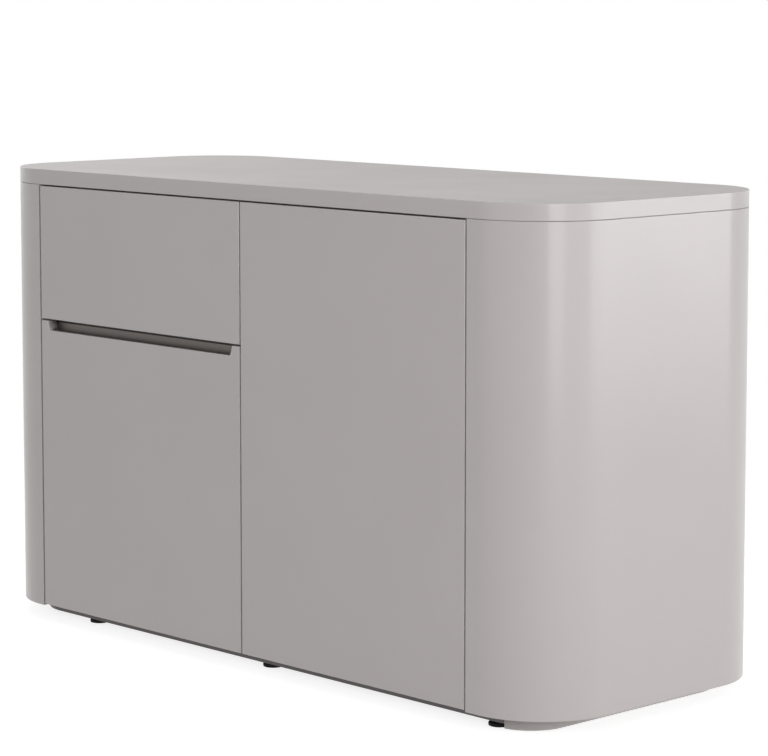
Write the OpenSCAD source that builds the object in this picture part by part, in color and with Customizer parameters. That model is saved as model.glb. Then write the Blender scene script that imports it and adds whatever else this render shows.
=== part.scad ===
// Credenza with two rounded ends: a drawer over a door on the left, a tall door on the right.
// Millimetres. X runs along the front to the right, the front looks along -Y, and Z is up.
// The origin is on the floor, under the middle of the body's outline.

/* [Overall] */
// Length over both rounded ends
body_w = 1276; // [1240:2:1400]
// Depth from the front face to the back face
body_d = 512; // [480:2:600]
// Height of the worktop's upper face
body_h = 750; // [700:1:850]
// Radius of the four upright corners
corner_r = 128; // [100:1:129]
// Height of the body's underside above the floor
body_lift = 25; // [23:1:40]

/* [Layout] */
// Width of the left rounded end, up to the middle of its seam
left_end_w = 138; // [131:1:170]
// Width of the column with the drawer
left_column_w = 502; // [440:1:540]
// Width of the right rounded end, up to the middle of its seam
right_end_w = 152; // [140:1:180]
// Height of the drawer front
drawer_front_h = 217.5; // [180:0.5:250]
// Height of the left shelf above the cupboard's floor
left_shelf_rise = 215; // [130:1:300]
// Height of the lower right shelf above the cupboard's floor
right_shelf_low_rise = 205; // [130:1:260]
// Height of the upper right shelf above the cupboard's floor
right_shelf_high_rise = 425; // [380:1:500]

/* [Boards] */
// Thickness of the worktop
top_t = 25; // [19:1:40]
// Thickness of the side panels, the partition and the carcass boards
panel_t = 19; // [18:1:25]
// Thickness of the doors and the drawer front
front_t = 19; // [18:0.5:22]
// Thickness of the bent end shells
shell_t = 15; // [10:1:18]
// Thickness of the back panel
back_t = 16; // [12:1:19]
// Thickness of the shelves and the ribs in the ends
shelf_t = 19; // [16:1:25]

/* [Gaps] */
// Gap between neighbouring fronts
front_gap = 3; // [2.5:0.1:4]
// Shadow gap between the fronts and the worktop
top_reveal = 2.5; // [2:0.5:8]
// Height of the fronts' lower edge above the body's underside
front_rise = 2.5; // [1:0.5:6]
// Fine seam between the end shells and the worktop
end_seam = 0.4; // [0.3:0.1:2]
// Air between the fronts and the carcass
front_air = 3; // [2.5:0.1:4]
// Glue line between a rounded board and its shell
glue_line = 0.2; // [0.1:0.05:0.5]
// Play of a shelf at each side panel
shelf_play = 0.8; // [0.5:0.1:2]
// Setback of a shelf's front edge from the carcass front
shelf_setback = 20; // [10:1:60]
// Radial clearance of a pin, shaft or plug in its bore
fit = 0.05; // [0.02:0.01:0.1]

/* [Grip notch] */
// Distance from the door's side edge to the notch, at the door's upper edge
notch_margin = 17; // [8:1:40]
// Height of the notch
notch_h = 15.5; // [12:0.5:24]
// How far each end of the notch leans inwards over its height
notch_lean = 5; // [0:0.5:14]
// Radius of the notch's lower corners
notch_r = 5; // [2:0.5:8]
// Depth of the finger groove below the notch
groove_h = 13; // [9:1:18]
// Thickness of the door's lip in front of the finger groove
lip_t = 7; // [5:0.5:9]
// Wall of the dark grip profile
grip_wall = 1.8; // [1:0.1:2.5]
// Overlap of the profile's back wall beyond the notch
grip_overlap = 5; // [3:1:7]
// Finger bevel on the drawer front's lower rear edge
drawer_bevel = 9; // [4:1:12]

/* [Base] */
// Setback of the dark plinth strip from the body's outline
plinth_inset = 40; // [30:1:60]
// Thickness of the plinth strip and of the end skirt
plinth_t = 6; // [4:0.5:8]
// Height of the plinth strip
plinth_h = 17; // [10:1:20]
// Setback of the curved end skirt from the right end
skirt_inset = 60; // [50:1:90]
// Length of the curved end skirt's base, measured from the right end
skirt_reach = 113; // [105:1:118]
// Corner radius of the end skirt
skirt_r = 64; // [30:1:80]
// Air under the end skirt
skirt_air = 1; // [0.5:0.5:4]
// Diameter of a foot's pad
pad_d = 32; // [20:1:36]
// Height of a foot's pad
pad_h = 6; // [4:0.5:7]
// Diameter of a foot's stem
stem_d = 8; // [6:1:10]
// Distance from the left end to the left feet
left_foot_x = 210; // [150:1:300]
// Distance from the partition's middle to the middle feet
middle_foot_x = 6; // [0:1:60]
// Distance from the right end's seam to the right feet
right_foot_x = 17; // [5:1:20]
// Setback of the left and middle feet from the front and back faces
foot_inset = 60; // [60:1:90]
// Setback of the right feet from the front and back faces
end_foot_inset = 54; // [54:1:90]

/* [Drawer box] */
// Height of the drawer box's sides
box_h = 130; // [80:1:140]
// Air between the drawer box and the back panel
box_back_air = 27; // [10:1:60]
// Thickness of the drawer box's boards
box_t = 12; // [10:1:16]
// Thickness of the drawer's bottom
box_bottom_t = 8; // [5:0.5:10]
// Depth of the groove that holds the drawer's bottom
box_groove = 6; // [3:0.5:8]
// Height of the drawer's bottom above the lower edge of its sides
box_bottom_rise = 7; // [4:1:20]
// Height of the drawer box above the divider
box_rise = 14; // [8:1:30]

/* [Runners] */
// Air between a runner's rear end and the back panel
runner_back_air = 22; // [10:1:150]
// Space that a runner takes beside the drawer box
runner_t = 13; // [12.5:0.1:14]
// Height of a runner
runner_h = 45; // [35:1:50]
// Sheet thickness of a runner
sheet_t = 1.2; // [1:0.1:1.6]
// Running gap between neighbouring runner members
runner_gap = 0.4; // [0.3:0.05:0.6]

/* [Hinges] */
// Depth of the hinge pin behind the door's front face
hinge_depth = 7; // [5:0.5:7]
// Air between the swinging door's rear corner and the carcass
swing_air = 0.5; // [0.3:0.1:1]
// Diameter of a hinge pin
hinge_pin_d = 2.5; // [2:0.1:3]
// Wall of the knuckle round the pin
knuckle_wall = 1.45; // [1.2:0.05:1.6]
// Diameter of the hinge cup
cup_d = 26; // [26:0.5:27]
// Sheet thickness of the hinge arm
arm_t = 2.5; // [1.5:0.1:2.6]
// Width of the hinge arm along the pin
arm_w = 8; // [6:0.5:9]
// Length of the hinge arm's mounting plate
plate_len = 48; // [40:1:60]
// Height of the mounting plate
plate_h = 34; // [30:1:50]
// Distance from the door's lower and upper ends to its outer hinges
hinge_end = 80; // [60:1:120]

/* [Push latch] */
// Width of the latch housing
latch_w = 14; // [12:0.5:20]
// Height of the latch housing
latch_h = 16; // [13:0.5:24]
// Length of the latch housing
latch_len = 62; // [58:1:80]
// Diameter of the plunger
plunger_d = 8; // [6:0.5:9]
// Travel of the plunger
plunger_travel = 1.8; // [1:0.1:2]
// Thickness of the strike plate on the door
strike_t = 1; // [0.5:0.1:1.2]

/* [Fasteners] */
// Diameter of a cam disc
cam_d = 15; // [12:0.5:16]
// Distance from a board's face to the cam's axis
cam_set = 34; // [24:1:40]
// Distance of the cams from the middle plane, along the depth
cam_y = 170; // [120:1:190]
// Diameter of a cam bolt
bolt_d = 7; // [5:0.5:7.5]
// Diameter of a shelf pin
shelf_pin_d = 5; // [4:0.5:6]
// Pitch of the shelf pin holes
hole_pitch = 32; // [25:1:40]
// Shank diameter of the screws
screw_d = 4; // [3:0.5:4]

/* [Hidden] */
$fn = 64;

// Extra depth of a cut, so that it leaves no skin
cut = 1;
// Colours as the photograph shows them
lacquer = [0.70, 0.68, 0.66];
inside_board = [0.80, 0.79, 0.77];
dark = [0.34, 0.32, 0.30];
black = [0.07, 0.07, 0.07];
steel = [0.72, 0.72, 0.73];

// Outline of the body
left_x = -body_w / 2;
right_x = body_w / 2;
front_y = -body_d / 2;
back_y = body_d / 2;

// Levels
floor_z = body_lift + panel_t;
deck_z = body_h - top_t;
ceiling_z = deck_z - panel_t;
front_top_z = deck_z - top_reveal;
front_low_z = body_lift + front_rise;
drawer_low_z = front_top_z - drawer_front_h;
door_top_z = drawer_low_z - front_gap;
divider_low_z = (drawer_low_z + door_top_z - panel_t) / 2;
divider_top_z = divider_low_z + panel_t;

// Seams along the front
left_seam_x = left_x + left_end_w;
middle_seam_x = left_seam_x + left_column_w;
right_seam_x = right_x - right_end_w;

// Carcass faces
case_left_x = left_seam_x - front_gap / 2;
case_right_x = right_seam_x + front_gap / 2;
partition_left_x = middle_seam_x - panel_t / 2;
partition_right_x = middle_seam_x + panel_t / 2;
front_back_y = front_y + front_t;
case_front_y = front_back_y + front_air;
case_back_y = back_y - back_t;

// Edges of the fronts
left_front_x = [left_seam_x + front_gap / 2, middle_seam_x - front_gap / 2];
right_front_x = [middle_seam_x + front_gap / 2, right_seam_x - front_gap / 2];

// Shelves and their pins
shelf_levels = [floor_z + left_shelf_rise, floor_z + right_shelf_low_rise,
    floor_z + right_shelf_high_rise];
shelf_front_y = case_front_y + shelf_setback;
shelf_back_y = case_back_y - shelf_play;
shelf_pin_end = 40;
shelf_pin_y = [shelf_front_y + shelf_pin_end, shelf_back_y - shelf_pin_end];
shelf_pin_out = 8;
shelf_pin_in = 8;
pin_hole_steps = [-1, 0, 1];

// Drawer box
box_left_x = case_left_x + runner_t;
box_right_x = partition_left_x - runner_t;
box_low_z = divider_top_z + box_rise;
box_back_y = case_back_y - box_back_air;
runner_z = box_low_z + box_h / 2;
runner_setback = 2;
runner_y = case_front_y + runner_setback;
runner_len = case_back_y - runner_back_air - runner_y;
fixed_lip_air = 3;

// Hinges: the pin stands so near the door's edge that its rear corner clears the carcass
hinge_y = front_y + hinge_depth;
hinge_back_v = front_t - hinge_depth;
hinge_set = sqrt(pow(front_air - swing_air, 2) + 2 * hinge_back_v * (front_air - swing_air));
lower_hinge_x = left_front_x[0] + hinge_set;
right_hinge_x = right_front_x[1] - hinge_set;
lower_hinge_z = [front_low_z + hinge_end, door_top_z - hinge_end];
right_hinge_z = [front_low_z + hinge_end, (front_low_z + front_top_z) / 2, front_top_z - hinge_end];
knuckle_r = hinge_pin_d / 2 + knuckle_wall;
// Reach of the door's corner round the pin, and the arm's arc that clears it
tail_r = sqrt(pow(hinge_set, 2) + pow(hinge_back_v, 2));
arm_air = 0.65;
arc_in = tail_r + arm_air;
arc_out = arc_in + arm_t;
arc_mid = (arc_in + arc_out) / 2;
neck_angle = 3;
// Side panel's face, seen from the pin
panel_u = -(hinge_set + front_gap);
plate_face_u = panel_u + arm_t;
plate_v = sqrt(pow(arc_mid, 2) - pow(panel_u + arm_t / 2, 2));
plate_wide_v = 18;
plate_screw_v = [28, 44];
plate_screw_w = 9;
plate_screw_in = 13;
// Cup: a pocket that leaves room for the arm's neck and arc at every door angle
tail_wall = 3.1;
pocket_air = 0.45;
pocket_u = [tail_wall - hinge_set, arc_out + pocket_air];
pocket_depth = hinge_back_v + knuckle_r + pocket_air;
pocket_w = arm_w + 2 * pocket_air;
cup_shift = (pocket_u[0] + pocket_u[1]) / 2;
cup_floor = 0.8;
cup_depth = pocket_depth + cup_floor;
flange_t = 1;
flange_w = 16;
flange_len = 54;
cup_screw_w = 20;
cup_screw_in = 11;
hinge_pin_len = 20;

// Push latch
latch_aside = 2.5;
latch_x = partition_right_x + latch_aside + latch_w / 2;
latch_z = ceiling_z - latch_h / 2;
strike_r = 7;
plunger_air = 0.3;
plunger_tip_y = front_back_y + strike_t + plunger_air;
plunger_rest = 0.4;
latch_front_y = plunger_tip_y + plunger_travel + plunger_rest;
plunger_len = 34;
spring_len = 10;
spring_wall = 0.8;
spring_air = 0.3;
latch_screw_d = 3;
latch_screw_set_back = 7;
latch_screw_in = 12;

// Feet: one list of places for pads, stems, sockets and bores
foot_x = [left_x + left_foot_x, middle_seam_x + middle_foot_x, right_seam_x + right_foot_x];
foot_y = [body_d / 2 - foot_inset, body_d / 2 - foot_inset, body_d / 2 - end_foot_inset];
foot_places = [for (i = [0:2], side = [-1, 1]) [foot_x[i], side * foot_y[i]]];
stem_seat = 3;
stem_cover = 6;
stem_top_z = floor_z - stem_cover;
stem_end_air = 1;
socket_wall = 2;
socket_cover = 3;
socket_top_z = floor_z - socket_cover;
socket_rim = 1.5;
pad_chamfer = 1.5;

// End skirt
skirt_x = right_x - skirt_reach;
skirt_far_x = right_x - skirt_inset;

// Brackets behind the plinth, at shares of the spans between the feet: place, and direction
bracket_w = 16;
bracket_leg = 14;
bracket_t = 1.5;
bracket_hole = 8.5;
bracket_shares = [0.25, 0.75];
bracket_side_y = 60;
bracket_front_x = [for (i = [0, 1], share = bracket_shares)
    foot_x[i] + share * (foot_x[i + 1] - foot_x[i])];
strip_in_y = body_d / 2 - plinth_inset - plinth_t;
strip_in_x = body_w / 2 - plinth_inset - plinth_t;
bracket_places = concat(
    [for (x = bracket_front_x) [x, -strip_in_y, 0]],
    [for (x = bracket_front_x) [x, strip_in_y, 180]],
    [[-strip_in_x, 0, -90]],
    [for (y = [-bracket_side_y, bracket_side_y]) [skirt_far_x - plinth_t, y, 90]]);

// Cams: the face they are let into, the side they look to, and the panel's middle
cam_panels = [[case_left_x, 1, case_left_x - panel_t / 2],
    [case_right_x, -1, case_right_x + panel_t / 2],
    [partition_right_x, 1, middle_seam_x]];
cam_depth = 12.5;
bolt_in_board = 11;

// Screws
head_r = screw_d;
head_h = 1.5;
screw_aside = 150;
worktop_screw_end = 200;
worktop_screw_x = [left_x + worktop_screw_end, middle_seam_x - screw_aside,
    middle_seam_x + screw_aside, right_x - worktop_screw_end];
worktop_screw_inset = 76;
worktop_screw_y = body_d / 2 - worktop_screw_inset;
worktop_screw_len = panel_t + top_t / 2;
back_screw_end = 100;
back_screw_x = [case_left_x + back_screw_end, middle_seam_x - screw_aside,
    middle_seam_x + screw_aside, case_right_x - back_screw_end];
back_screw_z = [body_lift + panel_t / 2, ceiling_z + panel_t / 2];
partition_screw_end = 200;
partition_screw_z = [floor_z + partition_screw_end, ceiling_z - partition_screw_end];
back_screw_in = 24;
back_screw_len = back_t + back_screw_in;
runner_screw_end = 30;
runner_screw_y = [runner_y + runner_screw_end, runner_y + runner_len / 2,
    runner_y + runner_len - runner_screw_end];
runner_screw_in = 12;
drawer_screw_end = 70;
drawer_screw_x = [box_left_x + drawer_screw_end, box_right_x - drawer_screw_end];
drawer_screw_low = 40;
drawer_screw_high = 25;
drawer_screw_z = [box_low_z + drawer_screw_low, box_low_z + box_h - drawer_screw_high];
drawer_screw_in = 13;
plinth_screw_in = 12;

// Bumpers on the carcass, behind the lower door and the drawer front
bumper_r = 4;
bumper_play = 0.2;
bumper_len = front_air - bumper_play;
bumper_low = 20;
bumper_high = 40;
bumper_end = 40;
bumper_rise = 2;

// A box between two corners
module block(x0, x1, y0, y1, z0, z1) {
    translate([x0, y0, z0]) cube([x1 - x0, y1 - y0, z1 - z0]);
}

// An upright block with four rounded corners
module rounded_block(x0, x1, y0, y1, r, z0, z1) {
    block(x0 + r, x1 - r, y0, y1, z0, z1);
    block(x0, x1, y0 + r, y1 - r, z0, z1);
    for (x = [x0 + r, x1 - r], y = [y0 + r, y1 - r])
        translate([x, y, z0]) cylinder(r = r, h = z1 - z0, $fn = 128);
}

// The body's outline, moved inwards
module outline_block(inset, z0, z1) {
    rounded_block(left_x + inset, right_x - inset, front_y + inset, back_y - inset,
        corner_r - inset, z0, z1);
}

// A round bar along X, Y or Z, from a point towards a direction
module bar_x(x0, x1, y, z, r) {
    translate([x0, y, z]) rotate([0, 90, 0]) cylinder(r = r, h = x1 - x0);
}
module bar_y(x, y0, y1, z, r) {
    translate([x, y0, z]) rotate([-90, 0, 0]) cylinder(r = r, h = y1 - y0);
}
module bar_z(x, y, z0, z1, r) {
    translate([x, y, z0]) cylinder(r = r, h = z1 - z0);
}

// A screw whose head lies flush at the origin and whose shank points along +Z
module screw(len, grow = 0) {
    cylinder(r = screw_d / 2 + grow, h = len);
    cylinder(r = head_r + grow, h = head_h);
}

// Screws and their holes, as groups placed by one list each
module worktop_screw_set(grow = 0) {
    for (x = worktop_screw_x, y = [-worktop_screw_y, worktop_screw_y])
        translate([x, y, ceiling_z]) screw(worktop_screw_len, grow);
}
module back_screw_set(grow = 0) {
    for (x = back_screw_x, z = back_screw_z)
        translate([x, back_y, z]) rotate([90, 0, 0]) screw(back_screw_len, grow);
    for (z = partition_screw_z)
        translate([middle_seam_x, back_y, z]) rotate([90, 0, 0]) screw(back_screw_len, grow);
}
module runner_screw_set(grow = 0) {
    for (y = runner_screw_y) {
        bar_x(case_left_x - runner_screw_in, case_left_x + sheet_t, y, runner_z, screw_d / 2 + grow);
        bar_x(partition_left_x - sheet_t, partition_left_x + runner_screw_in, y, runner_z,
            screw_d / 2 + grow);
    }
}
module drawer_screw_set(grow = 0) {
    for (x = drawer_screw_x, z = drawer_screw_z)
        translate([x, front_back_y + box_t, z]) rotate([90, 0, 0])
            screw(box_t + drawer_screw_in, grow);
}
module plinth_screw_set(grow = 0) {
    for (p = bracket_places)
        translate([p[0], p[1], body_lift - bracket_t]) rotate([0, 0, p[2]])
            bar_z(0, bracket_hole, 0, bracket_t + plinth_screw_in, screw_d / 2 + grow);
}
module latch_screw_set(grow = 0) {
    for (side = [-1, 1])
        bar_z(latch_x + side * latch_w / 4, latch_front_y + latch_len - latch_screw_set_back,
            ceiling_z - latch_h, ceiling_z + latch_screw_in, latch_screw_d / 2 + grow);
}

// Cam fittings: discs and bolts, with the bores that hold them
module cam_disc_set(grow = 0) {
    for (p = cam_panels, y = [-cam_y, cam_y], z = [floor_z + cam_set, ceiling_z - cam_set])
        bar_x(p[1] > 0 ? p[0] - cam_depth : p[0], p[1] > 0 ? p[0] : p[0] + cam_depth, y, z,
            cam_d / 2 + grow);
}
module cam_bolt_set(grow = 0) {
    for (p = cam_panels, y = [-cam_y, cam_y]) {
        bar_z(p[2], y, floor_z - bolt_in_board, floor_z + cam_set, bolt_d / 2 + grow);
        bar_z(p[2], y, ceiling_z - cam_set, ceiling_z + bolt_in_board, bolt_d / 2 + grow);
    }
}

// Shelf pins of one shelf: they stand in both neighbouring panels
module shelf_pin_row(level, x0, x1, steps, grow = 0) {
    for (y = shelf_pin_y, step = steps) {
        z = level - shelf_pin_d / 2 + step * hole_pitch;
        bar_x(x0 - shelf_pin_in, x0 + (grow > 0 ? 0 : shelf_pin_out), y, z, shelf_pin_d / 2 + grow);
        bar_x(x1 - (grow > 0 ? 0 : shelf_pin_out), x1 + shelf_pin_in, y, z, shelf_pin_d / 2 + grow);
    }
}
module shelf_pin_set(steps = [0], grow = 0) {
    shelf_pin_row(shelf_levels[0], case_left_x, partition_left_x, steps, grow);
    shelf_pin_row(shelf_levels[1], partition_right_x, case_right_x, steps, grow);
    shelf_pin_row(shelf_levels[2], partition_right_x, case_right_x, steps, grow);
}

// Hinge parts, drawn round the pin: u away from the hinge edge, v into the cabinet
module hinge_arm_outline() {
    difference() {
        union() {
            circle(r = knuckle_r);
            rotate(neck_angle) translate([0, -arm_t / 2]) square([arc_mid, arm_t]);
            difference() {
                union() {
                    intersection() {
                        circle(r = arc_out, $fn = 96);
                        rotate(neck_angle) translate([-arc_out, -arm_t / 2])
                            square([2 * arc_out, 2 * arc_out]);
                        union() {
                            translate([panel_u, plate_v - arm_t]) square([2 * arc_out, arc_out]);
                            translate([0, -arm_t]) square(2 * arc_out);
                        }
                    }
                    translate([panel_u, plate_v - arm_t]) square([arm_t, plate_len + arm_t]);
                }
                circle(r = arc_in, $fn = 96);
            }
        }
        circle(r = hinge_pin_d / 2 + fit);
    }
}
module hinge_arm() {
    difference() {
        union() {
            translate([0, 0, -arm_w / 2]) linear_extrude(arm_w) hinge_arm_outline();
            block(panel_u, plate_face_u, plate_wide_v, plate_v + plate_len, -plate_h / 2, plate_h / 2);
        }
        hinge_plate_screws_local(fit);
    }
}
module hinge_plate_screws_local(grow = 0) {
    for (v = plate_screw_v, w = [-plate_screw_w, plate_screw_w])
        bar_x(panel_u - plate_screw_in, plate_face_u, v, w, screw_d / 2 + grow);
}
module hinge_cup() {
    difference() {
        union() {
            bar_y(cup_shift, hinge_back_v - cup_depth, hinge_back_v, 0, cup_d / 2);
            block(cup_shift - flange_w / 2, cup_shift + flange_w / 2, hinge_back_v,
                hinge_back_v + flange_t, -flange_len / 2, flange_len / 2);
        }
        block(pocket_u[0], pocket_u[1], hinge_back_v - pocket_depth, hinge_back_v + flange_t + cut,
            -pocket_w / 2, pocket_w / 2);
        hinge_pin(fit);
        hinge_cup_screws_local(fit);
    }
}
module hinge_pin(grow = 0) {
    cylinder(r = hinge_pin_d / 2 + grow, h = hinge_pin_len, center = true);
}
module hinge_cup_screws_local(grow = 0) {
    for (w = [-cup_screw_w, cup_screw_w])
        bar_y(cup_shift, hinge_back_v - cup_screw_in, hinge_back_v + flange_t, w, screw_d / 2 + grow);
}
module hinge_cup_bore() {
    bar_y(cup_shift, hinge_back_v - cup_depth, hinge_back_v + cut, 0, cup_d / 2 + fit);
    hinge_cup_screws_local(fit);
}

// Children at every hinge of the lower door, or of the right door, which is mirrored
module at_lower_hinges() {
    for (z = lower_hinge_z) translate([lower_hinge_x, hinge_y, z]) children();
}
module at_right_hinges() {
    for (z = right_hinge_z) translate([right_hinge_x, hinge_y, z]) mirror([1, 0, 0]) children();
}

// A runner member: a channel of height h between two depths, its web at the first depth
module channel(h, web_t, lip_end, len) {
    difference() {
        block(min(web_t, lip_end), max(web_t, lip_end), 0, len, -h / 2, h / 2);
        if (lip_end > web_t)
            block(web_t + sheet_t, lip_end + cut, -cut, len + cut, -h / 2 + sheet_t, h / 2 - sheet_t);
        else
            block(lip_end - cut, web_t - sheet_t, -cut, len + cut, -h / 2 + sheet_t, h / 2 - sheet_t);
    }
}
module runner_fixed() {
    channel(runner_h, 0, runner_t - fixed_lip_air, runner_len);
}
module runner_middle() {
    channel(runner_h - 2 * (sheet_t + runner_gap), sheet_t + runner_gap,
        runner_t - sheet_t - runner_gap, runner_len);
}
module runner_inner() {
    channel(runner_h - 4 * (sheet_t + runner_gap), runner_t, 2 * (sheet_t + runner_gap), runner_len);
}
module at_left_runner() {
    translate([case_left_x, runner_y, runner_z]) children();
}
module at_right_runner() {
    translate([partition_left_x, runner_y, runner_z]) mirror([1, 0, 0]) children();
}

// A carcass board with rounded ends, cut back between the end shells
module carcass_board(z0) {
    difference() {
        outline_block(shell_t + glue_line, z0, z0 + panel_t);
        block(case_left_x, case_right_x, front_y, case_front_y, z0 - cut, z0 + panel_t + cut);
        block(case_left_x, case_right_x, case_back_y, back_y, z0 - cut, z0 + panel_t + cut);
    }
}

// An end shell: the part of the outer skin beyond a seam
module end_skin(x0, x1) {
    intersection() {
        difference() {
            outline_block(0, body_lift, deck_z - end_seam);
            outline_block(shell_t, body_lift - cut, deck_z);
        }
        block(x0, x1, front_y - cut, back_y + cut, body_lift - cut, deck_z);
    }
}
module end_rib(x0, x1) {
    rib_z = (body_lift + deck_z) / 2;
    intersection() {
        outline_block(shell_t + glue_line, rib_z, rib_z + shelf_t);
        block(x0, x1, front_y, back_y, rib_z, rib_z + shelf_t);
    }
}
module side_panel(x0) {
    difference() {
        intersection() {
            outline_block(shell_t + glue_line, floor_z, ceiling_z);
            block(x0, x0 + panel_t, front_y, back_y, floor_z, ceiling_z);
        }
        cam_disc_set(fit);
        cam_bolt_set(fit);
        shelf_pin_set(pin_hole_steps, fit);
        runner_screw_set(fit);
        at_lower_hinges() hinge_plate_screws_local(fit);
        at_right_hinges() hinge_plate_screws_local(fit);
    }
}

// Outline of the grip notch: two leaning ends with round lower corners
corner_steps = 6;
function notch_corner(x, dir) =
    let (k = notch_lean / notch_h,
        cx = x + dir * notch_r * (sqrt(1 + k * k) - k),
        a0 = 180 + atan(k))
    [for (i = [0:corner_steps]) let (a = a0 + (270 - a0) * i / corner_steps)
        [cx + dir * notch_r * cos(a), door_top_z - notch_h + notch_r + notch_r * sin(a)]];
notch_top_x = [left_front_x[0] + notch_margin, left_front_x[1] - notch_margin];
notch_floor_x = [notch_top_x[0] + notch_lean, notch_top_x[1] - notch_lean];
lean_cut = notch_lean * cut / notch_h;
notch_outline = concat([[notch_top_x[0] - lean_cut, door_top_z + cut]],
    notch_corner(notch_floor_x[0], 1),
    [for (i = [corner_steps:-1:0]) notch_corner(notch_floor_x[1], -1)[i]],
    [[notch_top_x[1] + lean_cut, door_top_z + cut]]);
groove_low_z = door_top_z - notch_h - groove_h;
groove_y = front_y + lip_t;
groove_x = [notch_floor_x[0] + notch_r, notch_floor_x[1] - notch_r];
grip_back_y = front_back_y - grip_wall;
grip_x = [notch_top_x[0] - grip_overlap, notch_top_x[1] + grip_overlap];
profile_air = 0.5;

module worktop() {
    color(lacquer) difference() {
        outline_block(0, deck_z, body_h);
        worktop_screw_set(fit);
    }
}
module sub_top() {
    color(inside_board) difference() {
        carcass_board(ceiling_z);
        worktop_screw_set(fit);
        cam_bolt_set(fit);
        back_screw_set(fit);
        latch_screw_set(fit);
    }
}
module bottom_board() {
    color(inside_board) difference() {
        carcass_board(body_lift);
        cam_bolt_set(fit);
        back_screw_set(fit);
        plinth_screw_set(fit);
        for (p = foot_places)
            bar_z(p[0], p[1], body_lift - cut, socket_top_z, stem_d / 2 + socket_wall + fit);
    }
}
module left_end_shell() {
    color(lacquer) end_skin(left_x - cut, case_left_x);
}
module right_end_shell() {
    color(lacquer) end_skin(case_right_x, right_x + cut);
}
module left_end_rib() {
    color(inside_board) end_rib(left_x, case_left_x - panel_t);
}
module right_end_rib() {
    color(inside_board) end_rib(case_right_x + panel_t, right_x);
}
module left_side_panel() {
    color(inside_board) side_panel(case_left_x - panel_t);
}
module right_side_panel() {
    color(inside_board) side_panel(case_right_x);
}
module partition() {
    color(inside_board) difference() {
        block(partition_left_x, partition_right_x, case_front_y, case_back_y, floor_z, ceiling_z);
        cam_disc_set(fit);
        cam_bolt_set(fit);
        shelf_pin_set(pin_hole_steps, fit);
        runner_screw_set(fit);
        back_screw_set(fit);
    }
}
module drawer_divider() {
    color(inside_board)
        block(case_left_x, partition_left_x, case_front_y, case_back_y, divider_low_z, divider_top_z);
}
module back_panel() {
    color(lacquer) difference() {
        block(left_front_x[0], right_front_x[1], case_back_y, back_y, front_low_z, front_top_z);
        back_screw_set(fit);
    }
}
module shelf(x0, x1, level) {
    block(x0 + shelf_play, x1 - shelf_play, shelf_front_y, shelf_back_y, level + fit,
        level + fit + shelf_t);
}
module left_shelf() {
    color(inside_board) shelf(case_left_x, partition_left_x, shelf_levels[0]);
}
module right_shelf_low() {
    color(inside_board) shelf(partition_right_x, case_right_x, shelf_levels[1]);
}
module right_shelf_high() {
    color(inside_board) shelf(partition_right_x, case_right_x, shelf_levels[2]);
}
module shelf_pins() {
    color(steel) shelf_pin_set();
}
module cam_discs() {
    color(steel) difference() {
        cam_disc_set();
        cam_bolt_set(fit);
    }
}
module cam_bolts() {
    color(steel) cam_bolt_set();
}
module worktop_screws() {
    color(steel) worktop_screw_set();
}
module back_screws() {
    color(steel) back_screw_set();
}
module plinth_strip() {
    color(dark) intersection() {
        difference() {
            outline_block(plinth_inset, body_lift - plinth_h, body_lift);
            outline_block(plinth_inset + plinth_t, body_lift - plinth_h - cut, body_lift + cut);
        }
        block(left_x, skirt_x - glue_line, front_y, back_y, 0, body_lift);
    }
}
module end_skirt() {
    color(lacquer) difference() {
        rounded_block(skirt_x - skirt_r * 2, skirt_far_x, front_y + plinth_inset,
            back_y - plinth_inset, skirt_r, skirt_air, body_lift);
        rounded_block(skirt_x - skirt_r * 2, skirt_far_x - plinth_t,
            front_y + plinth_inset + plinth_t, back_y - plinth_inset - plinth_t,
            skirt_r - plinth_t, 0, body_lift + cut);
        block(left_x, skirt_x, front_y, back_y, 0, body_lift + cut);
    }
}
module plinth_brackets() {
    color(steel) difference() {
        for (p = bracket_places) translate([p[0], p[1], body_lift]) rotate([0, 0, p[2]]) {
            block(-bracket_w / 2, bracket_w / 2, 0, bracket_t, -bracket_leg, 0);
            block(-bracket_w / 2, bracket_w / 2, 0, bracket_leg, -bracket_t, 0);
        }
        plinth_screw_set(fit);
    }
}
module plinth_screws() {
    color(steel) plinth_screw_set();
}
module foot_pads() {
    color(black) for (p = foot_places) difference() {
        union() {
            bar_z(p[0], p[1], 0, pad_h - pad_chamfer, pad_d / 2);
            translate([p[0], p[1], pad_h - pad_chamfer])
                cylinder(r1 = pad_d / 2, r2 = pad_d / 2 - pad_chamfer, h = pad_chamfer);
        }
        bar_z(p[0], p[1], stem_seat, pad_h + cut, stem_d / 2 + fit);
    }
}
module foot_stems() {
    color(steel) for (p = foot_places) bar_z(p[0], p[1], stem_seat, stem_top_z, stem_d / 2);
}
module foot_sockets() {
    color(black) for (p = foot_places) difference() {
        union() {
            bar_z(p[0], p[1], body_lift, socket_top_z, stem_d / 2 + socket_wall);
            bar_z(p[0], p[1], body_lift - socket_rim, body_lift, stem_d / 2 + socket_wall + socket_rim);
        }
        bar_z(p[0], p[1], body_lift - socket_rim - cut, stem_top_z + stem_end_air, stem_d / 2 + fit);
    }
}
module lower_hinge_arms() {
    color(steel) at_lower_hinges() hinge_arm();
}
module right_hinge_arms() {
    color(steel) at_right_hinges() hinge_arm();
}
module hinge_plate_screws() {
    color(steel) {
        at_lower_hinges() hinge_plate_screws_local();
        at_right_hinges() hinge_plate_screws_local();
    }
}
module left_runner_fixed() {
    color(steel) difference() {
        at_left_runner() runner_fixed();
        runner_screw_set(fit);
    }
}
module right_runner_fixed() {
    color(steel) difference() {
        at_right_runner() runner_fixed();
        runner_screw_set(fit);
    }
}
module runner_screws() {
    color(steel) runner_screw_set();
}
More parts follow.
